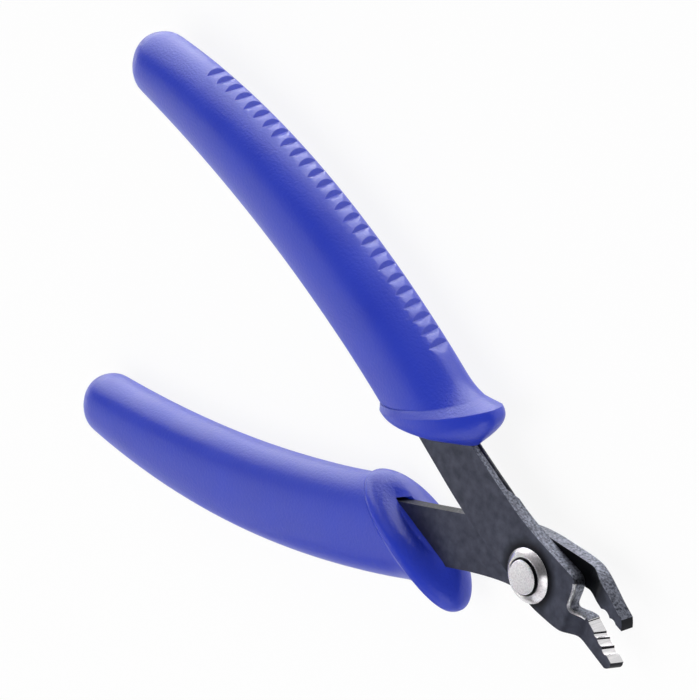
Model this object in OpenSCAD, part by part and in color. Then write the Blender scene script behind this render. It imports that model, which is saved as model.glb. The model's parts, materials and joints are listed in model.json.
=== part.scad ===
// Crimping pliers lying flat, front face up, jaws towards +X and upper handle towards +Y.
// Two lapped steel levers turn on one rivet. Both jaws are set over to the middle plane,
// so that they meet face to face. The origin is the centre of the rivet's rear face.

/* [Levers] */
// Thickness of each lever plate
plate_t = 2.2; // [1.8:0.1:2.4]
// Running gap between the two lapped plates
lap_gap = 0.1; // [0.05:0.05:0.2]
// Angle between the open and the closed jaws
open_angle = 18; // [16:0.5:20]
// Depth of the hidden tang inside each grip
tang_depth = 46; // [30:1:56]

/* [Rivet] */
// Diameter of the shank through both plates
shank_d = 3.5; // [3:0.1:4]
// Radial running clearance in the plates
shank_clear = 0.04; // [0.02:0.01:0.08]
// Diameter of the bright disc on the front
disc_d = 5.4; // [5:0.1:5.8]
// Height of the disc above the collar
disc_proud = 0.45; // [0.2:0.05:0.6]
// Diameter of the collar and of the rear head
collar_d = 8.8; // [8.4:0.1:9]
// Height of the collar and of the rear head
collar_h = 1.1; // [0.9:0.05:1.3]

/* [Jaws] */
// Angle of the lower jaw's face below the X axis
face_angle = 28.5; // [26:0.5:31]
// Thickness of each jaw
jaw_t = 2.4; // [2.2:0.1:2.6]
// Depth of the small crimping stations
small_depth = 0.27; // [0.15:0.01:0.35]
// Depth of the wide crimping stations
wide_depth = 0.4; // [0.3:0.02:0.5]
// Slant of the lower jaw's stations and tip across its thickness
jaw_skew = 10; // [0:1:12]

/* [Grips] */
// Half width of a grip at its front, in the plane of the levers
grip_a = 8.4; // [8:0.1:9]
// Half width of a grip at its rounded end
grip_a_end = 5.9; // [5.5:0.1:6.5]
// Half thickness of a grip
grip_c = 5.2; // [5:0.1:5.8]
// Radius of the centre line
grip_bend_r = 213; // [180:1:260]
// Length along the centre line from the end's centre to the guard
grip_len = 81; // [78:1:84]
// Slant of the guard
guard_slant = 35; // [32:1:40]
// Height of the upper guard's thumb stop on its outer side
upper_stop = 2.9; // [2.5:0.1:4]
// Height of the lower guard's thumb stop on its outer side
lower_stop = 3.7; // [2.5:0.1:4]
// Height of the guard's lip all round
guard_lip = 0.75; // [0.5:0.05:1]
// Forward lean of a guard's rim on one side
guard_lean = 1.3; // [0:0.1:1.6]
// Number of finger notches along the outer side
notch_count = 26; // [20:1:26]
// Depth of a finger notch
notch_depth = 0.55; // [0.3:0.05:0.6]

/* [Spring] */
// Diameter of the return spring's wire
wire_d = 0.8; // [0.6:0.05:0.85]

/* [Hidden] */
$fn = 64;

// Heights of the stack, from the rivet's rear face
run_gap = 0.05;
rear_z = collar_h + run_gap;
front_z = rear_z + plate_t + lap_gap;
mid_z = front_z - lap_gap / 2;
jaw_z = mid_z - jaw_t / 2;
collar_z = front_z + plate_t;

// Colours
steel_black = "#42444c";
steel_bright = "#c9c7c4";
steel_spring = "#7d7a75";
grip_blue = "#3844b4";

// Smooth curve through hand-chosen points, without the last point
function between(a, b, c, d, t) =
    0.5 * (2 * b + (c - a) * t + (2 * a - 5 * b + 4 * c - d) * t * t
           + (3 * b - a - 3 * c + d) * t * t * t);
function curve(p, steps = 5) = [
    for (i = [0 : len(p) - 2])
        for (k = [0 : steps - 1])
            between(p[max(i - 1, 0)], p[i], p[i + 1], p[min(i + 2, len(p) - 1)], k / steps)
];
function turned(p, angle) = [
    p[0] * cos(angle) - p[1] * sin(angle),
    p[0] * sin(angle) + p[1] * cos(angle)
];
function smooth(x, lo, hi) =
    let (u = min(max((x - lo) / (hi - lo), 0), 1)) u * u * (3 - 2 * u);

// Line on which the jaws meet, as distance u along it from its middle, on the lower jaw
face_mid = [14.6, -1.5];
face_dir = [cos(face_angle), -sin(face_angle)];
face_out = [sin(face_angle), cos(face_angle)];
face_start = -2.35;
face_end = 4.45;
function face(u, up = 0) = face_mid + u * face_dir + up * face_out;
function upper_face(u, up = 0) = turned(face(u, up), open_angle);

// Crimping stations of each jaw: place along the jaw line, width and depth
lower_stations = [[0.06, 0.95, small_depth], [1.27, 1.4, small_depth], [2.75, 1.5, wide_depth]];
upper_stations = [[0.65, 1.9, wide_depth], [2.4, 1.35, small_depth]];

// Front lever: upper tang, hub and lower jaw
tang_end_x = -28 - tang_depth;
front_outer = [[tang_end_x + 2, 28.8], [-50.4, 23.5], [-32.4, 17.8], [-17.9, 12.45], [-9.7, 9.35],
               [-4.9, 7.65], [0.2, 6.45], [4.6, 5.7], [7.6, 5.2]];
front_nose = [[7.6, 5.2], [8.55, 4.75], [8.95, 3.9], [9.05, 2.8], [8.95, 1.4], [8.95, 0.4],
              [9.4, -0.05], [10.2, -0.05], [11.2, 0.02], face(face_start - 0.35, 0.12),
              face(face_start)];
front_tip = [face(face_end + 1.3), [19.4, -5.7]];
front_under = [[17.7, -5.25], [16, -4.8], [14.2, -4.3], [12.4, -3.8], [11.4, -3.65],
               [10.1, -3.95], [8.1, -4.5], [5.1, -4.55], [1.3, -4.2], [-3.7, -2.4], [-15.6, 1.3],
               [-28.8, 7.2], [-40.4, 12.6], [-55.4, 18.8], [tang_end_x + 2, 25]];
front_outline = concat(curve(front_outer), curve(front_nose), [face(face_start)], front_tip,
                       curve(front_under), [[tang_end_x + 2, 25], [tang_end_x, 26.6]]);

// Rear lever: lower tang, hub and upper jaw
rear_outer = [[tang_end_x + 2, -29.6], [-50.4, -23.3], [-32.4, -17.5], [-18.7, -11.6],
              [-13.5, -9.1], [-8.3, -6.9], [-4.5, -5.7], [0.1, -4.9], [4.1, -4.3], [6.2, -3.3],
              [7.1, -1.7]];
rear_nose = [[7.1, -1.7], [7.1, 0.9], [7.4, 2.5], [8.2, 3.2], [9.4, 3.45], [10.6, 3.75],
             upper_face(face_start, 0.33), upper_face(-0.4)];
rear_tip = [upper_face(face_end), [18.5, 3.05], [18.15, 3.85]];
rear_top = [[18.15, 3.85], [16.1, 4.95], [14.3, 6], [12.3, 6.9], [10.8, 7.3], [9.6, 7.42],
            [8, 7.3], [5.6, 7.05], [3.1, 6.75], [-0.1, 6.35], [-4, 5.4], [-8.4, 3.5],
            [-17.4, -0.7], [-30.6, -7], [-42.4, -12.3], [-56.4, -18.8], [tang_end_x + 2, -25.6]];
rear_outline = concat(curve(rear_outer), curve(rear_nose), [upper_face(-0.4)],
                      curve(rear_tip, 3), curve(rear_top), [[tang_end_x + 2, -25.6], [tang_end_x, -27.6]]);

// Set-over of the jaws: where the bend of a plate's rear face and of its front face starts and ends
front_bend = [[8.7, 12.6], [8.7, 12.6]];
rear_bend = [[6.5, 15.5], [9.2, 13]];
bend_steps = 8;
reach = 100;
margin = 1;

// Side view of a plate that bends in an S curve from its own height to the jaws' height
function s_curve(ends, from_z, to_z) = [
    for (k = [0 : bend_steps])
        let (share = k / bend_steps)
        [ends[0] + share * (ends[1] - ends[0]), from_z + (to_z - from_z) * smooth(share, 0, 1)]
];
function backwards(p) = [for (i = [len(p) - 1 : -1 : 0]) p[i]];
module side_view(base_z, bend) {
    low = concat([[-reach, base_z]], s_curve(bend[0], base_z, jaw_z), [[reach, jaw_z]]);
    high = concat([[-reach, base_z + plate_t]],
                  s_curve(bend[1], base_z + plate_t, jaw_z + jaw_t), [[reach, jaw_z + jaw_t]]);
    translate([0, reach / 2, 0])
        rotate([90, 0, 0])
            linear_extrude(reach)
                polygon(concat(low, backwards(high)));
}

// Plate with the given outline, set over at its jaw and bored for the rivet
module plate(outline, base_z, bend) {
    difference() {
        intersection() {
            linear_extrude(collar_z) polygon(outline);
            side_view(base_z, bend);
        }
        translate([0, 0, base_z - margin])
            cylinder(d = shank_d + 2 * shank_clear, h = plate_t + 2 * margin);
    }
}

// Grooves across a jaw: round cutters whose chords on the jaw line have the given widths,
// with their centres above the line for the lower jaw (side 1) or below it for the upper (side -1)
module station_cuts(stations, side) {
    for (station = stations) {
        depth = station[2];
        r = (station[1] * station[1] / 4 + depth * depth) / (2 * depth);
        centre = face(station[0], side * (r - depth));
        translate([centre[0], centre[1], jaw_z - margin])
            cylinder(r = r, h = jaw_t + 2 * margin);
    }
}

// Turns a cutter about the normal of the lower jaw's face, so that its rear lies nearer the tip
module skewed() {
    pivot = [face_mid[0], face_mid[1], mid_z];
    translate(pivot)
        rotate(a = -jaw_skew, v = [face_out[0], face_out[1], 0])
            translate(-pivot)
                children();
}

// Rounded end of the lower jaw
tip_round = [face(4.72, 0.8), face(4.75), face(5.02, -0.55), face(5.05, -1.2), face(4.6, -1.9),
             face(3.9, -2.6)];
module tip_cut() {
    translate([0, 0, jaw_z - 3 * margin])
        linear_extrude(jaw_t + 6 * margin)
            polygon(concat(curve(tip_round, 4), [face(3.9, -2.6), face(9, -2.6), face(9, 0.8)]));
}

// Channel for the wire along the rear corner of the upper tang's outer edge. Towards the hub it
// widens and runs out, where the wire leaves it inwards and to the rear.
channel_w = wire_d + 0.3;
channel_h = wire_d + 0.3;
channel_start = [-34, 18.45];
channel_end = [-7.6, 8.55];
channel_len = norm(channel_end - channel_start);
channel_dir = (channel_end - channel_start) / channel_len;
channel_run_out = 2.2;
channel_flare = 4;
channel_flare_w = 2 * channel_w;
module wire_channel() {
    side = [[0, -margin], [channel_len, -margin], [channel_len, 0],
            [channel_len - channel_run_out, channel_h], [0, channel_h]];
    plan = [[0, margin], [channel_len, margin], [channel_len, -channel_flare_w],
            [channel_len - channel_flare, -channel_w], [0, -channel_w]];
    translate([channel_start[0], channel_start[1], front_z])
        rotate([0, 0, atan2(channel_dir[1], channel_dir[0])])
            intersection() {
                translate([0, margin, 0])
                    rotate([90, 0, 0])
                        linear_extrude(2 * margin + channel_flare_w) polygon(side);
                translate([0, 0, -margin])
                    linear_extrude(2 * margin + channel_h) polygon(plan);
            }
}

module front_lever() {
    color(steel_black)
    difference() {
        plate(front_outline, front_z, front_bend);
        skewed() {
            station_cuts(lower_stations, 1);
            tip_cut();
        }
        wire_channel();
    }
}

module rear_lever() {
    color(steel_black)
    difference() {
        plate(rear_outline, rear_z, rear_bend);
        rotate([0, 0, open_angle]) station_cuts(upper_stations, -1);
    }
}

// Shank, bright front disc and bevelled rear head in one turned piece
disc_z = collar_z + collar_h / 2;
disc_top = collar_z + collar_h + disc_proud;
disc_edge = 0.12;
head_bevel = 0.95 * collar_h;
module pivot_rivet() {
    color(steel_bright)
    rotate_extrude()
        polygon([[0, 0], [collar_d / 2 - head_bevel, 0], [collar_d / 2, head_bevel],
                 [collar_d / 2, collar_h], [shank_d / 2, collar_h], [shank_d / 2, disc_z],
                 [disc_d / 2, disc_z], [disc_d / 2, disc_top - disc_edge],
                 [disc_d / 2 - disc_edge, disc_top], [0, disc_top]]);
}

// Bevelled ring under the disc, with a narrow groove round it
groove_w = 0.3;
module rivet_collar() {
    color(steel_bright)
    rotate_extrude()
        polygon([[shank_d / 2, collar_z], [collar_d / 2, collar_z],
                 [collar_d / 2, collar_z + collar_h - head_bevel],
                 [collar_d / 2 - head_bevel, collar_z + collar_h],
                 [disc_d / 2 + groove_w, collar_z + collar_h],
                 [disc_d / 2 + groove_w, disc_z], [shank_d / 2, disc_z]]);
}

// Solid skin over rings of points, each ring running the same way round
module skin(rings) {
    n = len(rings[0]);
    last = len(rings) - 1;
    points = [for (ring = rings) for (p = ring) p];
    walls = [
        for (i = [0 : last - 1])
            for (j = [0 : n - 1])
                let (k = (j + 1) % n)
                    for (f = [[i * n + j, (i + 1) * n + j, (i + 1) * n + k],
                              [i * n + j, (i + 1) * n + k, i * n + k]]) f
    ];
    caps = [[for (j = [0 : n - 1]) j], [for (j = [n - 1 : -1 : 0]) last * n + j]];
    polyhedron(points, concat(walls, caps), convexity = 6);
}

// Return spring: a wire held in the upper grip, leaving its channel to press on the rear lever.
// Its route is given as distance along the channel, depth inwards and height over the plate's rear.
wire_up = wire_d / 2 + 0.02;
wire_route = [[0.9, 0.6, wire_up], [4, 0.5, wire_up], [10.5, 0.43, wire_up], [17, 0.43, wire_up],
              [23.4, 0.45, wire_up], [25.6, 0.62, 0.22], [27.2, 1.15, -0.25], [28.4, 1.7, -0.5],
              [30.4, 3.15, -0.7]];
function wire_point(p) =
    let (q = channel_start + p[0] * channel_dir + p[1] * [channel_dir[1], -channel_dir[0]])
    [q[0], q[1], front_z + p[2]];
wire_sides = 10;
function wire_ring(p, dir) =
    let (side = cross(dir, [0, 0, 1]) / norm(cross(dir, [0, 0, 1])),
         up = cross(side, dir))
    [for (j = [0 : wire_sides - 1])
        p + wire_d / 2 * (cos(360 * j / wire_sides) * side + sin(360 * j / wire_sides) * up)];
module return_spring() {
    bends = [for (p = wire_route) wire_point(p)];
    path = concat(curve(bends, 3), [bends[len(bends) - 1]]);
    last = len(path) - 1;
    color(steel_spring)
    skin([for (i = [0 : last])
        let (d = path[min(i + 1, last)] - path[max(i - 1, 0)])
            wire_ring(path[i], d / norm(d))]);
}

// Grip section: an oval slightly fuller than an ellipse; angle 0 is the outer side
section_sides = 36;
section_power = 2 / 2.15;
function fuller(x) = sign(x) * pow(abs(x), section_power);
function half_width(s) =
    grip_a - (grip_a - grip_a_end) * pow(1 - min(max(s, 0), grip_len) / grip_len, 3);

// Point at distance s along the centre line's arc and v outwards from it
function arc_turn(s) = s / grip_bend_r * 180 / PI;
function arc_point(s, v) =
    [(grip_bend_r + v) * sin(arc_turn(s)), (grip_bend_r + v) * cos(arc_turn(s)) - grip_bend_r];

// Point of the grip at distance s, v outwards and w up, sheared forwards near the guard
slant_start = 34;
slant_end = 6;
function grip_point(s, v, w) =
    let (slant = tan(guard_slant) * smooth(s, grip_len - slant_start, grip_len - slant_end),
         p = arc_point(s, v) + v * slant * [cos(arc_turn(s)), -sin(arc_turn(s))])
    [p[0], p[1], w];

// Thumb stop and lip at angle t round the section, for a bump and a lip of the given heights
bump_power = 1.5;
lip_fade = 0.3;
function outer(t) = max(cos(t), 0);
function stop_v(t, lip, bump) = lip * cos(t) + bump * pow(outer(t), bump_power);
function stop_w(t, lip) = lip * sin(t) * (1 - lip_fade * outer(t));

// Forward lean at angle t round the section and distance s, full at the rim
lean_start = 11;
function lean_at(t, s) =
    guard_lean / 2 * sin(t) * (1 + sin(t)) * smooth(s, grip_len - lean_start, grip_len);

// One ring: half width a, half thickness c, lip height and thumb stop height
function grip_ring(s, a, c, lip, bump) = [
    for (j = [0 : section_sides - 1])
        let (t = 360 * j / section_sides)
        grip_point(s + lean_at(t, s), a * fuller(cos(t)) + stop_v(t, lip, bump),
                   c * fuller(sin(t)) + stop_w(t, lip))
];

// Rounded end, body, thumb stop fillet, lip and domed front
end_len = 5.7;
end_rings = 6;
end_first = 0.35;
fillet_len = 5;
fillet_power = 3.2;
fillet_rings = 5;
ledge_w = 1.5;
dome_len = 4.5;
dome_rings = 7;
mouth_a = 5.5;
mouth_c = 1.9;
dome_power = 0.75;
dome_taper = 1.5;
dome_round = 0.15;
mouth_slant = 1.7;
mouth_tilt = 1.4;
rim_s = grip_len + ledge_w;
fillet_s = grip_len - fillet_len;
body_places = [0, 4, 9, 15, 22, 30, 38, 45, 51, 56, 61, 65, 69, 72.5,
               for (k = [0 : fillet_rings]) fillet_s + k * fillet_len / fillet_rings];
function stop_rise(s) = pow(max(s - fillet_s, 0) / (rim_s - fillet_s), fillet_power);

// One ring of the domed front, blunt on the inner side and rounder under the thumb stop
function dome_ring(u, stop) = [
    for (j = [0 : section_sides - 1])
        let (t = 360 * j / section_sides,
             f = pow(sin(u), dome_power + dome_round * outer(t)),
             g = pow(cos(u), dome_power + dome_taper * outer(t)),
             a = mouth_a + (grip_a - mouth_a) * g,
             c = mouth_c + (grip_c - mouth_c) * g,
             v = a * fuller(cos(t)) + g * stop_v(t, guard_lip, stop),
             mouth = dome_len + mouth_slant * fuller(cos(t)) + mouth_tilt * fuller(sin(t)))
        grip_point(rim_s + f * mouth + (1 - f) * lean_at(t, rim_s), v,
                   c * fuller(sin(t)) + g * stop_w(t, guard_lip))
];
function grip_rings(stop) = concat(
    [for (i = [0 : end_rings - 1])
        let (u = 90 * (i + end_first) / end_rings)
            grip_ring(-end_len * cos(u), grip_a_end * sin(u), grip_c * sin(u), 0, 0)],
    [for (s = body_places) grip_ring(s, half_width(s), grip_c, 0, stop * stop_rise(s))],
    [for (k = [0.5, 1])
        let (s = grip_len + ledge_w * k)
            grip_ring(s, grip_a, grip_c, guard_lip * k, stop * stop_rise(s))],
    [for (i = [1 : dome_rings]) dome_ring(90 * i / dome_rings, stop)]
);

// Finger notches: V grooves across the outer side in even steps, a little askew
notch_first = 13;
notch_pitch = 2.54;
notch_half_w = 0.8;
notch_tilt = 10;
notch_scale = 2;
module finger_notches() {
    for (i = [0 : notch_count - 1]) {
        s = notch_first + i * notch_pitch;
        translate([each arc_point(s, half_width(s) - notch_depth), 0])
            rotate([0, 0, -arc_turn(s)])
                rotate([0, notch_tilt, 0])
                    linear_extrude(2 * grip_c, center = true)
                        polygon(notch_scale * [[0, 0], [notch_half_w, notch_depth],
                                               [-notch_half_w, notch_depth]]);
    }
}
module grip_body(stop) {
    difference() {
        skin(grip_rings(stop));
        finger_notches();
    }
}

// Places of the grips: centre of the rounded end, and heading of the centre line there
upper_end = [-107.8, 33.6, front_z + plate_t / 2];
upper_heading = -3.45;
lower_end = [-107.3, -35.2, rear_z + plate_t / 2];
lower_heading = 6;

// Socket for a tang, the tang's own size
module tang_socket(outline, base_z) {
    translate([0, 0, base_z])
        linear_extrude(plate_t)
            intersection() {
                polygon(outline);
                translate([-reach, -reach / 2]) square([reach - margin, reach]);
            }
}

module upper_grip() {
    color(grip_blue)
    difference() {
        translate(upper_end) rotate([0, 0, upper_heading]) grip_body(upper_stop);
        tang_socket(front_outline, front_z);
    }
}

// The lower socket's mouth is a little longer than the tang, on the inner side
mouth_gap = 0.6;
mouth_gap_x = -33;
module mouth_relief() {
    translate([0, mouth_gap, rear_z])
        linear_extrude(plate_t)
            intersection() {
                polygon(rear_outline);
                translate([mouth_gap_x, -reach / 2]) square([-mouth_gap_x - margin, reach]);
            }
}

module lower_grip() {
    color(grip_blue)
    difference() {
        translate(lower_end) rotate([0, 0, lower_heading]) rotate([180, 0, 0]) grip_body(lower_stop);
        tang_socket(rear_outline, rear_z);
        mouth_relief();
    }
}

front_lever();
rear_lever();
pivot_rivet();
rivet_collar();
return_spring();
upper_grip();
lower_grip();
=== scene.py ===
"""Crimping pliers on a pale floor: two lapped black steel levers on one bright rivet,
a thin return spring along the upper lever's edge, and two moulded blue grips."""
import json
import math

import bmesh
import bpy
from mathutils import Matrix, Vector

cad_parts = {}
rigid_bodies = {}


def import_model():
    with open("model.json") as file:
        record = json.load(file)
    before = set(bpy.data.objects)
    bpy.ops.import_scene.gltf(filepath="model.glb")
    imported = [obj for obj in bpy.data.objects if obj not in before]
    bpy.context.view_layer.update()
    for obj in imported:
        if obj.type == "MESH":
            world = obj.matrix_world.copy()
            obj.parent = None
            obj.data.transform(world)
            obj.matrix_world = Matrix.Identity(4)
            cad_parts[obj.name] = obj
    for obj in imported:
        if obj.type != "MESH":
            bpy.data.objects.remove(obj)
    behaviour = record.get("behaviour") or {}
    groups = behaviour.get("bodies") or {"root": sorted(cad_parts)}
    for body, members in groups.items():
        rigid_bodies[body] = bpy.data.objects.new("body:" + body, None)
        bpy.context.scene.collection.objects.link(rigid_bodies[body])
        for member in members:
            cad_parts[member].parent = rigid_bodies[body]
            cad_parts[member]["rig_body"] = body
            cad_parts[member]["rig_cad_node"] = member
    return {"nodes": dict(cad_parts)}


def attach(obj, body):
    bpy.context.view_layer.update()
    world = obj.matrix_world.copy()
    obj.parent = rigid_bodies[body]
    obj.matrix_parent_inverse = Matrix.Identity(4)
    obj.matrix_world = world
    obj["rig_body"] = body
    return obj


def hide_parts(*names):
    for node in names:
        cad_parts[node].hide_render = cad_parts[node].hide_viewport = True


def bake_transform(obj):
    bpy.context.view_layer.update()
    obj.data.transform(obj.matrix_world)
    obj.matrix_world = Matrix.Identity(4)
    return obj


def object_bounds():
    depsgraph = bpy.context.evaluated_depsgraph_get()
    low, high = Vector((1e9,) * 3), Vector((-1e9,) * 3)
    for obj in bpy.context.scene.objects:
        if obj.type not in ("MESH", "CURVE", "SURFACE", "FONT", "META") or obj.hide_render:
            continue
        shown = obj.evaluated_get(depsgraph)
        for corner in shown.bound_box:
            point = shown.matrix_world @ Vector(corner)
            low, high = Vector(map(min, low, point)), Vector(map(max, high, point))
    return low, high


bpy.ops.object.select_all(action="SELECT")
bpy.ops.object.delete()
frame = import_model()
cad_low, cad_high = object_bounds()
mm = 0.001
weld_gap = 0.002 * mm               # corners closer than this are one
flat_within = math.radians(0.6)     # faces that meet at less than this are one


# ---------------------------------------------------------------- shop tools

def pick(*objects):
    """Only these objects are selected, and the last one is worked on."""
    bpy.ops.object.select_all(action="DESELECT")
    for obj in objects:
        obj.select_set(True)
    bpy.context.view_layer.objects.active = objects[-1]


def name_piece(name):
    """Names the object just made, and its mesh."""
    piece = bpy.context.active_object
    piece.name = piece.data.name = name
    return piece


def edit(piece, element="VERT"):
    """Opens a piece in edit mode with nothing selected, and gives its mesh to select from."""
    pick(piece)
    bpy.ops.object.mode_set(mode="EDIT")
    bpy.ops.mesh.select_mode(type=element)
    bpy.ops.mesh.select_all(action="DESELECT")
    return bmesh.from_edit_mesh(piece.data)


def close_edit(piece):
    """Writes the open mesh back and leaves edit mode."""
    bmesh.update_edit_mesh(piece.data)
    bpy.ops.object.mode_set(mode="OBJECT")


def weld_all():
    """In the open mesh, everything is selected, and corners that meet become one."""
    bpy.ops.mesh.select_all(action="SELECT")
    bpy.ops.mesh.remove_doubles(threshold=weld_gap)


def face_outwards():
    """In the open mesh, everything is selected, and all faces turn outwards."""
    bpy.ops.mesh.select_all(action="SELECT")
    bpy.ops.mesh.normals_make_consistent(inside=False)


def finish_with(piece, kind, **settings):
    """Adds one modifier and applies it."""
    pick(piece)
    modifier = piece.modifiers.new(kind.lower(), kind)
    for name, value in settings.items():
        setattr(modifier, name, value)
    bpy.ops.object.modifier_apply(modifier=modifier.name)


def smooth_to(piece, degrees):
    """Shades a piece smooth, apart from edges sharper than this."""
    pick(piece)
    bpy.ops.object.shade_smooth_by_angle(angle=math.radians(degrees))


def cut_away(piece, cutter, solver="EXACT"):
    """Cuts one solid out of another and throws the cutter away."""
    finish_with(piece, "BOOLEAN", object=cutter, operation="DIFFERENCE", solver=solver)
    bpy.data.objects.remove(cutter)


def copy_of(node, name):
    """A copy of a CAD node with its loose triangles merged and its flat faces made whole."""
    pick(frame["nodes"][node])
    bpy.ops.object.duplicate()
    piece = name_piece(name)
    piece.data.materials.clear()
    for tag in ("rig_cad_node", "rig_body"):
        del piece[tag]
    bpy.ops.mesh.customdata_custom_splitnormals_clear()
    edit(piece)
    weld_all()
    bpy.ops.mesh.dissolve_limited(angle_limit=flat_within)
    close_edit(piece)
    return piece


def turn_on_lathe(name, profile, steps=96):
    """Draws a half section by extruding one corner through each (radius, height) in turn, and
    spins it round Z."""
    bpy.ops.object.select_all(action="DESELECT")
    bpy.ops.mesh.primitive_plane_add(size=mm)
    piece = name_piece(name)
    edit(piece)
    bpy.ops.mesh.select_all(action="SELECT")
    bpy.ops.mesh.merge(type="CENTER")
    at = Vector((0, 0, 0))
    for number, (radius, height) in enumerate(profile):
        to = Vector((radius * mm, 0, height * mm))
        if number == 0:
            bpy.ops.transform.translate(value=to - at)
        else:
            bpy.ops.mesh.extrude_vertices_move(TRANSFORM_OT_translate={"value": to - at})
        at = to
    bpy.ops.mesh.select_all(action="SELECT")
    bpy.ops.mesh.spin(steps=steps, angle=2 * math.pi, center=(0, 0, 0), axis=(0, 0, 1))
    weld_all()
    face_outwards()
    close_edit(piece)
    return piece


# ---------------------------------------------------------------- materials

MIX_SHARE, MIX_A, MIX_B, MIX_OUT = 0, 6, 7, 2    # the sockets of a Mix node set to colours


def colour(hex_code):
    """sRGB hex to linear RGBA."""
    channels = [int(hex_code[i:i + 2], 16) / 255 for i in (1, 3, 5)]
    return [c / 12.92 if c <= 0.04045 else ((c + 0.055) / 1.055) ** 2.4 for c in channels] + [1]


def put(tree, kind, inputs, **settings):
    """Adds a node with its settings; each input is a value or another node's socket."""
    made = tree.nodes.new(kind)
    for name, value in settings.items():
        setattr(made, name, value)
    for name, value in inputs.items():
        if isinstance(value, bpy.types.NodeSocket):
            tree.links.new(value, made.inputs[name])
        else:
            made.inputs[name].default_value = value
    return made


def new_material(name, **sockets):
    """A material with a Principled shader, and the Object coordinates of its piece."""
    material = bpy.data.materials.new(name)
    material.use_nodes = True
    tree = material.node_tree
    shader = tree.nodes["Principled BSDF"]
    for socket, value in sockets.items():
        shader.inputs[socket.replace("_", " ")].default_value = value
    place = put(tree, "ShaderNodeTexCoord", {}).outputs["Object"]
    return material, tree, shader, place


def per(size_mm):
    """Noise scale, in cells to the metre, for grains of a size in millimetres."""
    return 1 / (size_mm * mm)


def moulded_blue_pvc():
    """Dip-moulded soft PVC: an even royal blue with a satin skin, a fine orange-peel grain
    of about 0.45 mm and slow, faint changes of shade along the moulding."""
    material, tree, shader, place = new_material("moulded_blue_pvc", IOR=1.53,
                                                 Specular_IOR_Level=0.75)
    clouds = put(tree, "ShaderNodeTexNoise", {"Vector": place, "Scale": per(9), "Detail": 3})
    shade = put(tree, "ShaderNodeMix", {MIX_SHARE: clouds.outputs["Fac"], MIX_A: colour("#142cae"),
                                        MIX_B: colour("#1a36be")}, data_type="RGBA")
    tree.links.new(shade.outputs[MIX_OUT], shader.inputs["Base Color"])
    peel = put(tree, "ShaderNodeTexNoise", {"Vector": place, "Scale": per(0.45), "Detail": 2})
    satin = put(tree, "ShaderNodeMapRange", {"Value": clouds.outputs["Fac"], "From Min": 0.3,
                                             "From Max": 0.7, "To Min": 0.36, "To Max": 0.44})
    tree.links.new(satin.outputs["Result"], shader.inputs["Roughness"])
    bump = put(tree, "ShaderNodeBump", {"Height": peel.outputs["Fac"], "Strength": 1.0,
                                        "Distance": 0.07 * mm})
    tree.links.new(bump.outputs["Normal"], shader.inputs["Normal"])
    return material


def black_oxide_steel(name, tones, patch, shade_pool_at, shade_pool_from, shade_pool_to):
    """Stamped and tumbled carbon steel, chemically blackened: a dark slate metal, satin, mottled
    between two tones in patches of a size in millimetres over a fine tumbled grain of 0.2 mm.
    Painted shade makes it deep black round a place, up to one radius, and fades out by the other."""
    material, tree, shader, place = new_material(name, Metallic=0.9)
    patches = put(tree, "ShaderNodeTexNoise", {"Vector": place, "Scale": per(patch), "Detail": 4})
    worn = put(tree, "ShaderNodeMapRange", {"Value": patches.outputs["Fac"], "From Min": 0.3,
                                            "From Max": 0.7})
    shade = put(tree, "ShaderNodeMix", {MIX_SHARE: worn.outputs["Result"], MIX_A: colour(tones[0]),
                                        MIX_B: colour(tones[1])}, data_type="RGBA")
    flat = put(tree, "ShaderNodeVectorMath", {0: place, 1: (1, 1, 0)}, operation="MULTIPLY")
    pool = (shade_pool_at[0] * mm, shade_pool_at[1] * mm, 0)
    radius = put(tree, "ShaderNodeVectorMath", {0: flat.outputs["Vector"], 1: pool},
                 operation="DISTANCE")
    shade_fade = put(tree, "ShaderNodeMapRange", {"Value": radius.outputs["Value"],
                                           "From Min": shade_pool_from * mm, "From Max": shade_pool_to * mm},
              interpolation_type="SMOOTHSTEP")
    # painted shade: near black round the pool's place, fading out to the plain steel
    shaded_tone = put(tree, "ShaderNodeMix", {MIX_SHARE: shade_fade.outputs["Result"], MIX_A: colour("#17181d"),
                                       MIX_B: shade.outputs[MIX_OUT]}, data_type="RGBA")
    tree.links.new(shaded_tone.outputs[MIX_OUT], shader.inputs["Base Color"])
    satin = put(tree, "ShaderNodeMapRange", {"Value": worn.outputs["Result"], "To Min": 0.48,
                                             "To Max": 0.36})
    tree.links.new(satin.outputs["Result"], shader.inputs["Roughness"])
    grain = put(tree, "ShaderNodeTexNoise", {"Vector": place, "Scale": per(0.2), "Detail": 3})
    bump = put(tree, "ShaderNodeBump", {"Height": grain.outputs["Fac"], "Strength": 0.3,
                                        "Distance": 0.02 * mm})
    tree.links.new(bump.outputs["Normal"], shader.inputs["Normal"])
    return material


def worn_edge_steel():
    """Corners of the throat where the oxide is rubbed off: bare grey steel, broken up every
    half millimetre or so."""
    material, tree, shader, place = new_material("worn_edge_steel", Metallic=1.0, Roughness=0.3)
    rubs = put(tree, "ShaderNodeTexNoise", {"Vector": place, "Scale": per(0.5), "Detail": 3})
    worn = put(tree, "ShaderNodeMapRange", {"Value": rubs.outputs["Fac"], "From Min": 0.35,
                                            "From Max": 0.65})
    shade = put(tree, "ShaderNodeMix", {MIX_SHARE: worn.outputs["Result"], MIX_A: colour("#9ea0a8"),
                                        MIX_B: colour("#dcdde0")}, data_type="RGBA")
    tree.links.new(shade.outputs[MIX_OUT], shader.inputs["Base Color"])
    return material


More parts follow.
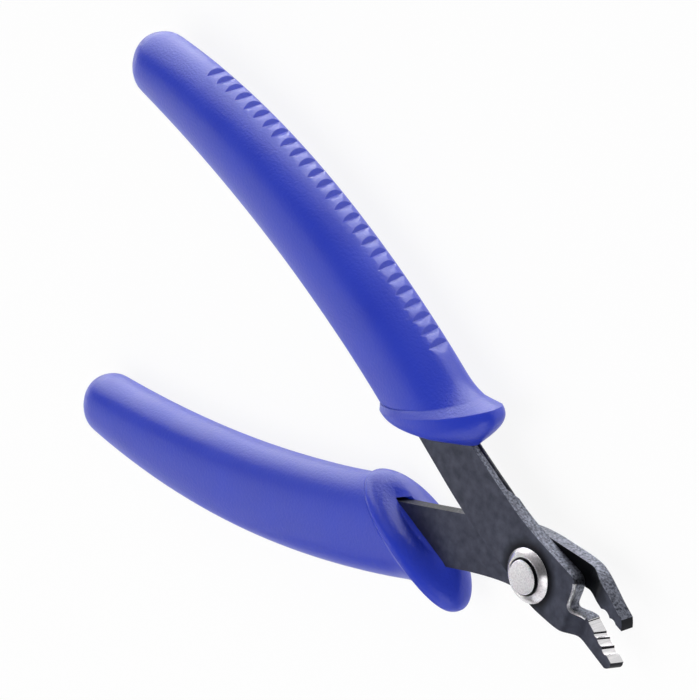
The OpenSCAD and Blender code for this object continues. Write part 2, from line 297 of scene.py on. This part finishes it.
def ground_jaw_steel():
    """Surface-ground tool steel left bright: fine grinding lines across the jaw, drawn at
    0.25 mm so that they show, and a little stain."""
    material, tree, shader, place = new_material("ground_jaw_steel", Metallic=1.0)
    along = put(tree, "ShaderNodeMapping", {"Vector": place,
                                            "Scale": (per(0.25), per(0.25), per(4))})
    lines = put(tree, "ShaderNodeTexNoise", {"Vector": along.outputs["Vector"], "Scale": 1.0,
                                             "Detail": 2})
    shade = put(tree, "ShaderNodeMix", {MIX_SHARE: lines.outputs["Fac"], MIX_A: colour("#c2c1c3"),
                                        MIX_B: colour("#eeedee")}, data_type="RGBA")
    tree.links.new(shade.outputs[MIX_OUT], shader.inputs["Base Color"])
    satin = put(tree, "ShaderNodeMapRange", {"Value": lines.outputs["Fac"], "To Min": 0.28,
                                             "To Max": 0.18})
    tree.links.new(satin.outputs["Result"], shader.inputs["Roughness"])
    bump = put(tree, "ShaderNodeBump", {"Height": lines.outputs["Fac"], "Strength": 0.3,
                                        "Distance": 0.01 * mm})
    tree.links.new(bump.outputs["Normal"], shader.inputs["Normal"])
    return material


def turned_nickelled_steel():
    """Turned steel with a nickel plate: bright, with a soft frosting of about 0.3 mm where it was
    barrelled, and faint tool rings round the axis. A ring takes 2 pi radians of 0.2 mm each, so
    they are drawn 1.3 mm apart, coarser than real ones, so that they show."""
    wave_radians = 20       # to the metre, in a Wave node at a scale of 1
    material, tree, shader, place = new_material("turned_nickelled_steel", Metallic=1.0)
    frost = put(tree, "ShaderNodeTexNoise", {"Vector": place, "Scale": per(0.3), "Detail": 3})
    speckle = put(tree, "ShaderNodeMapRange", {"Value": frost.outputs["Fac"], "From Min": 0.3,
                                               "From Max": 0.7})
    shade = put(tree, "ShaderNodeMix", {MIX_SHARE: speckle.outputs["Result"],
                                        MIX_A: colour("#cecbd0"), MIX_B: colour("#eeecf0")},
                data_type="RGBA")
    tree.links.new(shade.outputs[MIX_OUT], shader.inputs["Base Color"])
    satin = put(tree, "ShaderNodeMapRange", {"Value": frost.outputs["Fac"], "To Min": 0.3,
                                             "To Max": 0.18})
    tree.links.new(satin.outputs["Result"], shader.inputs["Roughness"])
    rings = put(tree, "ShaderNodeTexWave", {"Vector": place, "Scale": per(0.2) / wave_radians,
                                            "Distortion": 0.6},
                wave_type="RINGS", rings_direction="Z")
    bump = put(tree, "ShaderNodeBump", {"Height": rings.outputs["Fac"], "Strength": 0.12,
                                        "Distance": 0.01 * mm})
    grainy = put(tree, "ShaderNodeBump", {"Height": frost.outputs["Fac"], "Strength": 0.15,
                                          "Distance": 0.02 * mm, "Normal": bump.outputs["Normal"]})
    tree.links.new(grainy.outputs["Normal"], shader.inputs["Normal"])
    return material


def drawn_spring_wire():
    """Hard-drawn spring wire: dark grey oiled steel, its shade broken up every 0.4 mm."""
    material, tree, shader, place = new_material("drawn_spring_wire", Metallic=1.0)
    streaks = put(tree, "ShaderNodeTexNoise", {"Vector": place, "Scale": per(0.4), "Detail": 3})
    shade = put(tree, "ShaderNodeMix", {MIX_SHARE: streaks.outputs["Fac"], MIX_A: colour("#35363c"),
                                        MIX_B: colour("#57585f")}, data_type="RGBA")
    tree.links.new(shade.outputs[MIX_OUT], shader.inputs["Base Color"])
    satin = put(tree, "ShaderNodeMapRange", {"Value": streaks.outputs["Fac"], "To Min": 0.26,
                                             "To Max": 0.42})
    tree.links.new(satin.outputs["Result"], shader.inputs["Roughness"])
    return material


# The oxide is more even on the plates' faces than on their sheared edges. Painted shade darkens
# the steel at the lower grip's mouth, round the rivet, where the plates lap behind the jaws, and at
# the jaws' tips.
face_tones, face_patch = ("#464855", "#565968"), 1.5
edge_tones, edge_patch = ("#262830", "#777a86"), 0.4
blue_pvc = moulded_blue_pvc()
# the sheared edges, with painted shade at the lower grip's mouth
black_steel = black_oxide_steel("black_oxide_steel_edge", edge_tones, edge_patch,
                                (-23.6, -8.3), 6, 12)
# the plates' faces, with painted shade round the rivet's collar; it also darkens the rivet's groove
hub_painted_shade = black_oxide_steel("black_oxide_steel_oiled_hub", face_tones, face_patch,
                              (0, 0), 4.3, 6.4)
# the rear plate's faces, with painted shade where they lap behind the front plate at the jaws
lap_painted_shade = black_oxide_steel("black_oxide_steel_oiled_lap", face_tones, face_patch,
                              (7, 5), 5, 8.5)
# the jaws' steep groove walls and tip end faces, with painted shade round the tips
tip_painted_shade = black_oxide_steel("black_oxide_steel_sheared_tip", edge_tones, edge_patch,
                                (18, -1), 6, 9)
worn_steel = worn_edge_steel()
ground_steel = ground_jaw_steel()
nickelled = turned_nickelled_steel()
spring_wire = drawn_spring_wire()


# ---------------------------------------------------------------- grips
# A grip is drawn in millimetres along a bent middle line: s runs along it from the rounded end
# to the mouth, v outwards and w up. Round each ring the angle t is 0 on the outer side, where the
# notches and the thumb stop are, and a right angle on top. The lower grip is then turned over.

grip_a, grip_a_end, grip_c = 8.4, 5.9, 5.2    # half the width, the same at the end, half the depth
bend_r, grip_len, end_len = 213, 81, 5.7      # bend, length to the guard's root, rounded end
fullness = 2.15                               # 2 would be an ellipse
guard_slant = math.tan(math.radians(35))
slant_from, slant_to, lean_from = 34, 6, 11   # how far before the guard's root these begin or end
upper_stop, lower_stop, stop_curve = 2.9, 3.7, 3.2
lip_high, guard_lean = 0.75, 1.3
fillet_len, ledge_w = 5, 1.5
rim_s, fillet_s = grip_len + ledge_w, grip_len - fillet_len
dome_len, dome_round, mouth_a, mouth_c = 4.5, 0.75, 5.5, 1.9
mouth_slant, mouth_tilt = 1.7, 1.4
end_rings, body_rings, fillet_rings, dome_rings = 14, 50, 16, 26
ledge_shares = (-0.1, -0.08, 0.04, 0.12, 0.15, 0.5, 0.87, 0.95, 1)    # rings across the ledge
crease_depth, crease_from, crease_at, crease_to = 0.2, -0.1, 0.04, 0.12


def fuller(x):
    """Makes a sine or cosine draw a section a little squarer than an ellipse."""
    return math.copysign(abs(x) ** (2 / fullness), x)


def ease(x, low, high):
    """Rises smoothly from 0 at low to 1 at high."""
    u = min(max((x - low) / (high - low), 0), 1)
    return u * u * (3 - 2 * u)


def half_width(s):
    """Half the width at s: slim at the rounded end, full towards the guard."""
    return grip_a - (grip_a - grip_a_end) * (1 - min(max(s, 0), grip_len) / grip_len) ** 3


def on_arc(s, v):
    """Point at distance s along the bent middle line and v outwards."""
    turn = s / bend_r
    return Vector(((bend_r + v) * math.sin(turn), (bend_r + v) * math.cos(turn) - bend_r, 0))


def grip_point(s, v, w):
    """Point at s, v and w, slanted at the guard."""
    turn = s / bend_r
    slant = guard_slant * ease(s, grip_len - slant_from, grip_len - slant_to)
    forwards = Vector((math.cos(turn), -math.sin(turn), 0))
    return on_arc(s, v) + v * slant * forwards + Vector((0, 0, w))


def guard_lift(t, lip, bump):
    """How far the lip and the thumb stop stand out at angle t round the grip."""
    outer = max(math.cos(t), 0)
    return (lip * math.cos(t) + bump * outer ** 1.5, lip * math.sin(t) * (1 - 0.3 * outer))


def lean_at(t, s):
    """How far the guard leans forwards on its top side, growing towards the rim."""
    grown = ease(s, grip_len - lean_from, grip_len)
    return guard_lean / 2 * math.sin(t) * (1 + math.sin(t)) * grown


def stop_rise(s):
    """Share of the thumb stop's height at s, in a hollow curve up to the rim."""
    return (max(s - fillet_s, 0) / (rim_s - fillet_s)) ** stop_curve


def body_point(t, s, a, c, lip, bump):
    """Point at angle t of a section with half width a and half depth c."""
    out, up = guard_lift(t, lip, bump)
    return grip_point(s + lean_at(t, s), a * fuller(math.cos(t)) + out,
                      c * fuller(math.sin(t)) + up)


def end_point(t, u):
    """Point on the rounded end; u goes from 0 at its tip to a right angle."""
    return body_point(t, -end_len * math.cos(u), grip_a_end * math.sin(u), grip_c * math.sin(u),
                      0, 0)


def side_point(t, s, stop):
    """Point on the grip's long body and the fillet of its thumb stop."""
    return body_point(t, s, half_width(s), grip_c, 0, stop * stop_rise(s))


def ledge_point(t, k, stop):
    """Point on the guard's narrow ledge, a share k of the way to its rim. A fine crease follows
    its root and fades out towards the outer side."""
    s = grip_len + ledge_w * k
    crease = crease_depth * ease(k, crease_from, crease_at) * (1 - ease(k, crease_at, crease_to))
    inner = 1 - ease(math.cos(t), -0.4, 0.4)
    return body_point(t, s, grip_a, grip_c, lip_high * max(k, 0) - crease * inner,
                      stop * stop_rise(s))


def dome_point(t, u, stop):
    """Point on the dome from the guard's rim, u 0, to the mouth round the tang, u a right angle.
    On the outer side it falls away faster."""
    outer = max(math.cos(t), 0)
    f = math.sin(u) ** (dome_round + 0.15 * outer)
    g = max(math.cos(u), 0) ** (dome_round + 1.5 * outer)
    a, c = mouth_a + (grip_a - mouth_a) * g, mouth_c + (grip_c - mouth_c) * g
    out, up = guard_lift(t, lip_high, stop)
    mouth = dome_len + mouth_slant * fuller(math.cos(t)) + mouth_tilt * fuller(math.sin(t))
    return grip_point(rim_s + f * mouth + (1 - f) * lean_at(t, rim_s),
                      a * fuller(math.cos(t)) + g * out, c * fuller(math.sin(t)) + g * up)


def grip_rings(stop):
    """For each ring from the rounded end to the mouth, the function of the angle round it. The
    first ring stays a little off the tip, and those of the dome crowd towards the rim."""
    rings = []
    for i in range(end_rings):
        u = math.pi / 2 * (i + 0.2) / end_rings
        rings.append(lambda t, u=u: end_point(t, u))
    places = [fillet_s * i / body_rings for i in range(body_rings)]
    places += [fillet_s + fillet_len * i / fillet_rings for i in range(fillet_rings)]
    for s in places:
        rings.append(lambda t, s=s: side_point(t, s, stop))
    for k in ledge_shares:
        rings.append(lambda t, k=k: ledge_point(t, k, stop))
    for i in range(dome_rings):
        u = math.pi / 2 * ((i + 0.4) / (dome_rings - 0.6)) ** 1.3
        rings.append(lambda t, u=u: dome_point(t, u, stop))
    return rings


def moulded_grip(name, stop, sides=96):
    """A cylinder ringed by subdividing its walls, then formed ring by ring to the grip."""
    rings = grip_rings(stop)
    bpy.ops.object.select_all(action="DESELECT")
    bpy.ops.mesh.primitive_cylinder_add(vertices=sides, radius=1, depth=1, end_fill_type="NGON")
    piece = name_piece(name)
    bm = edit(piece, "EDGE")
    for e in bm.edges:
        e.select = abs(e.verts[0].co.z - e.verts[1].co.z) > 0.5
    bpy.ops.mesh.subdivide(number_cuts=len(rings) - 2)
    bm = bmesh.from_edit_mesh(piece.data)
    for v in bm.verts:
        ring = round((v.co.z + 0.5) * (len(rings) - 1))
        v.co = rings[ring](math.atan2(v.co.y, v.co.x)) * mm
    face_outwards()
    close_edit(piece)
    cut_away(piece, finger_notch_cutters())
    return piece


def finger_notch_cutters():
    """One V-shaped prism, copied along the outer side in even steps and joined. The flank towards
    the rounded end is short and steep, the one towards the guard long and shallow."""
    depth, steep, shallow, tilt = 0.55, 0.75, 1.25, math.radians(10)
    first, pitch, count = 13, 2.54, 26
    bpy.ops.object.select_all(action="DESELECT")
    bpy.ops.mesh.primitive_cylinder_add(vertices=3, radius=1, depth=2 * grip_c * mm)
    wedge = name_piece("notch_wedge")
    corners = [(0, 0), (2 * shallow * mm, 2 * depth * mm), (-2 * steep * mm, 2 * depth * mm)]
    bm = edit(wedge)
    around = sorted({round(math.atan2(v.co.y, v.co.x), 3) for v in bm.verts})
    for v in bm.verts:
        number = around.index(round(math.atan2(v.co.y, v.co.x), 3))
        v.co.x, v.co.y = corners[number]
    face_outwards()
    close_edit(wedge)
    wedges = []
    for i in range(count):
        s = first + i * pitch
        pick(wedge)
        bpy.ops.object.duplicate()
        one = bpy.context.active_object
        one.data.transform(Matrix.Translation(on_arc(s, half_width(s) - depth) * mm)
                           @ Matrix.Rotation(-s / bend_r, 4, "Z") @ Matrix.Rotation(tilt, 4, "Y"))
        wedges.append(one)
    pick(*wedges)
    bpy.ops.object.join()
    cutters = name_piece("notch_cutters")
    bpy.data.objects.remove(wedge)
    return cutters


def tang_cutter(node, move_y=0.0):
    """The tang's own solid, a hair fatter, to leave a fine gap round it."""
    gap = 0.05 * mm
    cutter = copy_of(node, node + "_socket")
    edit(cutter)
    bpy.ops.mesh.select_all(action="SELECT")
    bpy.ops.transform.shrink_fatten(value=-gap)
    bpy.ops.transform.translate(value=(0, move_y * mm, 0))
    close_edit(cutter)
    return cutter


def dressed_grip(blank, node, place, sockets, body):
    """Puts a moulded grip in its place, cuts the sockets for its tang and finishes it."""
    blank.data.transform(place)
    for cutter in sockets:
        cut_away(blank, cutter)
    smooth_to(blank, 28)
    blank.data.materials.append(blue_pvc)
    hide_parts(node)
    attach(blank, body)


# The lower mouth stands open a little above its tang. The levers are still shown while their
# tangs are copied, so the grips come first.
lower_mouth_slack = 0.6
dressed_grip(moulded_grip("upper_grip_moulding", upper_stop), "upper_grip",
             Matrix.Translation((-107.8 * mm, 33.6 * mm, 4.55 * mm))
             @ Matrix.Rotation(math.radians(-3.45), 4, "Z"),
             [tang_cutter("front_lever")], "front_half")
dressed_grip(moulded_grip("lower_grip_moulding", lower_stop), "lower_grip",
             Matrix.Translation((-107.3 * mm, -35.2 * mm, 2.25 * mm))
             @ Matrix.Rotation(math.radians(6), 4, "Z") @ Matrix.Rotation(math.pi, 4, "X"),
             [tang_cutter("rear_lever"), tang_cutter("rear_lever", lower_mouth_slack)],
             "rear_half")


# ---------------------------------------------------------------- levers

face_angle = math.radians(28.5)     # the lower jaw's face, from the tool's long axis
open_angle = math.radians(18)       # between the two jaws' faces
lower_face_out = Vector((math.sin(face_angle), math.cos(face_angle), 0))
lower_face_along = Vector((math.cos(face_angle), -math.sin(face_angle), 0))
upper_face_out = -(Matrix.Rotation(open_angle, 3, "Z") @ lower_face_out)
upper_face_along = Matrix.Rotation(open_angle, 3, "Z") @ lower_face_along

EDGE, RUBBED, GROUND, FRONT, PAINTED_SHADE_SLOT = range(5)     # a plate's material slots
front_z = 0.7                                     # a normal that rises more is the front's
stations_x, tip_x = 12.4, 17                      # where the ground faces and the tips begin
throat_x, throat_y, throat_cove = (8.7, 11.9), (-0.5, 4.2), 0.42


def in_throat(place):
    """Says whether a place in millimetres lies in the throat."""
    return (throat_x[0] < place.x < throat_x[1]) and (throat_y[0] < place.y < throat_y[1])


def cove_corners(piece, radius, inside, slot):
    """Runs a round cutter along the sharp corners of the front face whose middle lies where inside
    says, and gives the cove it leaves a material slot."""
    bm = edit(piece, "EDGE")
    for e in bm.edges:
        front = any(f.normal.z > front_z for f in e.link_faces)
        sharp = e.is_convex and e.calc_face_angle(0) > math.radians(40)
        e.select = front and sharp and inside((e.verts[0].co + e.verts[1].co) / 2 / mm)
    bpy.ops.mesh.duplicate()
    bpy.ops.mesh.separate(type="SELECTED")
    close_edit(piece)
    cutter = [obj for obj in bpy.context.selected_objects if obj != piece][0]
    pick(cutter)
    bpy.ops.object.convert(target="CURVE")
    cutter = bpy.context.active_object
    cutter.data.bevel_depth, cutter.data.bevel_resolution = radius * mm, 4
    cutter.data.use_fill_caps = True
    bpy.ops.object.convert(target="MESH")
    cutter = bpy.context.active_object
    edit(cutter)
    weld_all()
    face_outwards()
    close_edit(cutter)
    for polygon in cutter.data.polygons:
        polygon.material_index = slot
    cut_away(piece, cutter, "MANIFOLD")


def lever(node, name, jaw_out, jaw_along, front_painted_shade, cove):
    """One plate: the corner of its throat coved and rubbed bare, its front given painted shade, its
    jaw face ground bright with painted shade on the steep sides of its grooves, and painted shade
    on the end faces of its tip."""
    piece = copy_of(node, name)
    for material in (black_steel, worn_steel, ground_steel, front_painted_shade, tip_painted_shade):
        piece.data.materials.append(material)
    if cove:
        cove_corners(piece, cove, in_throat, RUBBED)
    bm = edit(piece, "FACE")
    for f in bm.faces:
        middle_x = (f.calc_center_median() / mm).x
        if f.normal.dot(jaw_out) > 0.5 and middle_x > stations_x:
            # the steep walls of the jaw's grooves get painted shade
            steep = f.normal.dot(jaw_along) > 0.45 and abs(f.normal.z) < 0.3
            f.material_index = PAINTED_SHADE_SLOT if steep else GROUND
        elif f.normal.z > front_z and f.material_index == EDGE:
            f.material_index = FRONT
        # the tip's end faces get painted shade
        elif f.normal.x > 0.6 and middle_x > tip_x:
            f.material_index = PAINTED_SHADE_SLOT
    close_edit(piece)
    smooth_to(piece, 28)
    finish_with(piece, "WEIGHTED_NORMAL", keep_sharp=True, weight=100)
    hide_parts(node)
    return piece


front_plate = lever("front_lever", "front_lever_plate", lower_face_out, lower_face_along,
                    hub_painted_shade, throat_cove)
rear_plate = lever("rear_lever", "rear_lever_plate", upper_face_out, upper_face_along,
                   lap_painted_shade, 0)
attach(front_plate, "front_half")
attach(rear_plate, "rear_half")


# ---------------------------------------------------------------- rivet
# Radii, and heights over the rear head's flat face, in millimetres. The groove lies between the
# disc and the collar.

shank_r, disc_flat_r, disc_r, groove_r, flat_r, head_r = 1.75, 2.58, 2.7, 3, 3.355, 4.4
head_rim_z, head_z, collar_z, collar_rim_z = 1.045, 1.1, 5.65, 5.95
groove_z, collar_top_z, disc_rim_z, disc_top_z = 6.2, 6.75, 7.08, 7.2


def turned_piece(node, name, profile, painted_shade_span):
    """A turned and nickelled piece with finely rounded edges. Its faces in the groove, whose
    middles lie between the two radii and the two heights given last, are black with painted shade."""
    piece = turn_on_lathe(name, profile)
    finish_with(piece, "BEVEL", width=0.07 * mm, segments=2, limit_method="ANGLE",
                angle_limit=math.radians(28))
    smooth_to(piece, 35)
    finish_with(piece, "WEIGHTED_NORMAL", keep_sharp=True, weight=100)
    for material in (nickelled, hub_painted_shade):
        piece.data.materials.append(material)
    # the groove's faces get the near-black painted shade of the hub's material
    inner_r, outer_r, floor_z, top_z = painted_shade_span
    bm = edit(piece, "FACE")
    for f in bm.faces:
        middle = f.calc_center_median() / mm
        radius = math.hypot(middle.x, middle.y)
        f.select = inner_r < radius < outer_r and floor_z < middle.z < top_z
    piece.active_material_index = 1
    bpy.ops.object.material_slot_assign()
    close_edit(piece)
    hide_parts(node)
    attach(piece, "front_half")


turned_piece("pivot_rivet", "rivet_disc_and_head", [
    (0, 0), (flat_r, 0), (head_r, head_rim_z), (head_r, head_z), (shank_r, head_z),
    (shank_r, groove_z), (disc_r, groove_z), (disc_r, disc_rim_z), (disc_flat_r, disc_top_z),
    (0, disc_top_z)], painted_shade_span=(2.68, 2.72, 6.1, 7.0))
turned_piece("rivet_collar", "bevelled_collar", [
    (shank_r, collar_z), (head_r, collar_z), (head_r, collar_rim_z), (flat_r, collar_top_z),
    (groove_r, collar_top_z), (groove_r, groove_z), (shank_r, groove_z),
    (shank_r, collar_z)], painted_shade_span=(1.7, 3.05, 6.1, 6.6))


# ---------------------------------------------------------------- return spring

channel_start, channel_end = Vector((-34, 18.45)), Vector((-7.6, 8.55))
channel_dir = (channel_end - channel_start).normalized()
channel_in = Vector((channel_dir.y, -channel_dir.x))
plate_rear_z, wire_d = 3.45, 0.8


def wire_point(along, depth, height):
    """Place on the wire in metres, from millimetres along the upper lever's channel, into the
    lever, and in front of its rear face."""
    flat = channel_start + along * channel_dir + depth * channel_in
    return Vector((flat.x, flat.y, plate_rear_z + height)) * mm


wire_route = [(0.9, 0.6, 0.42), (4, 0.5, 0.42), (10.5, 0.43, 0.42), (17, 0.43, 0.42),
              (23.4, 0.45, 0.42), (25.6, 0.62, 0.22), (27.2, 1.15, -0.25), (28.4, 1.7, -0.5),
              (30.4, 3.15, -0.7)]
bpy.ops.object.select_all(action="DESELECT")
bpy.ops.curve.primitive_bezier_curve_add()
wire = name_piece("return_spring_wire")
spline = wire.data.splines[0]
spline.bezier_points.add(len(wire_route) - len(spline.bezier_points))
for point, place in zip(spline.bezier_points, wire_route):
    point.handle_left_type = point.handle_right_type = "AUTO"
    point.co = wire_point(*place)
wire.data.bevel_depth = wire_d / 2 * mm
wire.data.bevel_resolution = 5
wire.data.resolution_u = 8
wire.data.use_fill_caps = True
bpy.ops.object.convert(target="MESH")
smooth_to(wire, 40)
wire.data.materials.append(spring_wire)
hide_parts("return_spring")
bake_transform(wire)


# ---------------------------------------------------------------- floor, light and camera

def opal_table_top():
    """Opal acrylic shooting table: matt white, seen as white by the camera and in reflections
    with the object's shadow kept, and letting lamps through from underneath."""
    seen_white = 0.9        # the rest of what is seen is the matt top, with the shadow
    material = bpy.data.materials.new("opal_acrylic")
    material.use_nodes = True
    tree = material.node_tree
    tree.nodes.clear()
    rays = put(tree, "ShaderNodeLightPath", {}).outputs
    seen = put(tree, "ShaderNodeMath", {0: rays["Is Camera Ray"], 1: rays["Is Glossy Ray"]},
               operation="MAXIMUM")
    seen = put(tree, "ShaderNodeMath", {0: seen.outputs[0], 1: rays["Is Transmission Ray"]},
               operation="MAXIMUM")
    share = put(tree, "ShaderNodeMath", {0: seen.outputs[0], 1: seen_white}, operation="MULTIPLY")
    matt = put(tree, "ShaderNodeBsdfDiffuse", {"Color": colour("#f4f4f4")})
    white = put(tree, "ShaderNodeEmission", {"Color": colour("#ffffff"), "Strength": 1.0})
    top = put(tree, "ShaderNodeMixShader", {0: share.outputs[0], 1: matt.outputs[0],
                                            2: white.outputs[0]})
    clear = put(tree, "ShaderNodeBsdfTransparent", {})
    lit = put(tree, "ShaderNodeMixShader", {0: rays["Is Shadow Ray"], 1: top.outputs[0],
                                            2: clear.outputs[0]})
    put(tree, "ShaderNodeOutputMaterial", {"Surface": lit.outputs[0]})
    return material


bpy.ops.object.select_all(action="DESELECT")
bpy.ops.mesh.primitive_plane_add(size=6, location=(0, 0, cad_low.z))
floor = name_piece("table_top")
floor.data.materials.append(opal_table_top())

# The photograph's directions, where its camera stood, and the middle of the object.
right = Vector((0.61354, 0.20160, -0.76351))
up = Vector((-0.49636, 0.85044, -0.17431))
back = Vector((0.61418, 0.48591, 0.62184))
camera_place = Vector((211.15, 216.94, 267.89)) * mm
middle = Vector((-47, 0, 3.4)) * mm


def softbox(name, across, rise, near, distance, width, height, strength, sheen=True, fill=True):
    """A soft lamp that looks at the middle of the object from a side given in the photograph's
    directions: across to the right, rise upwards and near the viewer. Strength is its radiance.
    It gives both a sheen and an even fill, unless one of them is left to another lamp."""
    data = bpy.data.lights.new(name, "AREA")
    data.shape = "ELLIPSE"
    data.size, data.size_y = width, height
    data.energy = strength * math.pi * (math.pi / 4 * width * height)
    data.cycles.use_multiple_importance_sampling = False
    lamp = bpy.data.objects.new(name, data)
    lamp.visible_glossy, lamp.visible_diffuse = sheen, fill
    bpy.context.scene.collection.objects.link(lamp)
    away = (across * right + rise * up + near * back).normalized()
    overhead = rise > 0.7
    level = right if overhead else up.cross(away)
    side = (level - level.dot(away) * away).normalized()
    lamp.matrix_world = (Matrix.Translation(middle + away * distance)
                         @ Matrix((side, away.cross(side), away)).transposed().to_4x4())


# The main light comes from the top of the picture. The panel and the cards draw the edges.
softbox("top_bank", -0.06, 0.94, -0.33, 0.65, 1.7, 0.98, 1.3, sheen=False)
softbox("top_sheen", -0.2, 0.966, -0.165, 0.65, 1.42, 1.04, 2.6, fill=False)
softbox("front_card", -0.66, 0.4, 0.63, 0.7, 0.6, 0.6, 0.2, fill=False)
softbox("left_panel", -0.86, -0.25, -0.4, 0.7, 1.0, 0.54, 0.78)
softbox("ledge_card", -0.72, 0.16, -0.67, 0.7, 0.36, 0.36, 1.3, fill=False)
softbox("front_fill", -0.76, -0.17, 0.62, 0.7, 0.7, 0.7, 2.75, sheen=False)
softbox("right_fill", 0.5, 0.5, 0.7, 0.7, 0.7, 0.7, 1.2, sheen=False)
softbox("low_card", -0.16, -0.52, 0.84, 0.7, 0.3, 0.3, 2.2)
softbox("low_bank", -0.22, -0.88, 0.2, 0.7, 1.0, 0.75, 0.8)
softbox("right_card", 0.75, -0.61, -0.25, 0.7, 0.4, 0.4, 0.6)

world = bpy.context.scene.world or bpy.data.worlds.new("studio")
bpy.context.scene.world = world
world.use_nodes = True
world.node_tree.nodes.clear()
sky = put(world.node_tree, "ShaderNodeBackground", {"Color": colour("#ffffff"), "Strength": 0.12})
put(world.node_tree, "ShaderNodeOutputWorld", {"Surface": sky.outputs[0]})

camera_data = bpy.data.cameras.new("photo_camera")
camera_data.sensor_width = 36
camera_data.lens = 135.77
camera = bpy.data.objects.new("photo_camera", camera_data)
bpy.context.scene.collection.objects.link(camera)
camera.matrix_world = (Matrix.Translation(camera_place)
                       @ Matrix((right, up, back)).transposed().to_4x4())
bpy.context.scene.camera = camera
bpy.context.scene.view_settings.view_transform = "Standard"
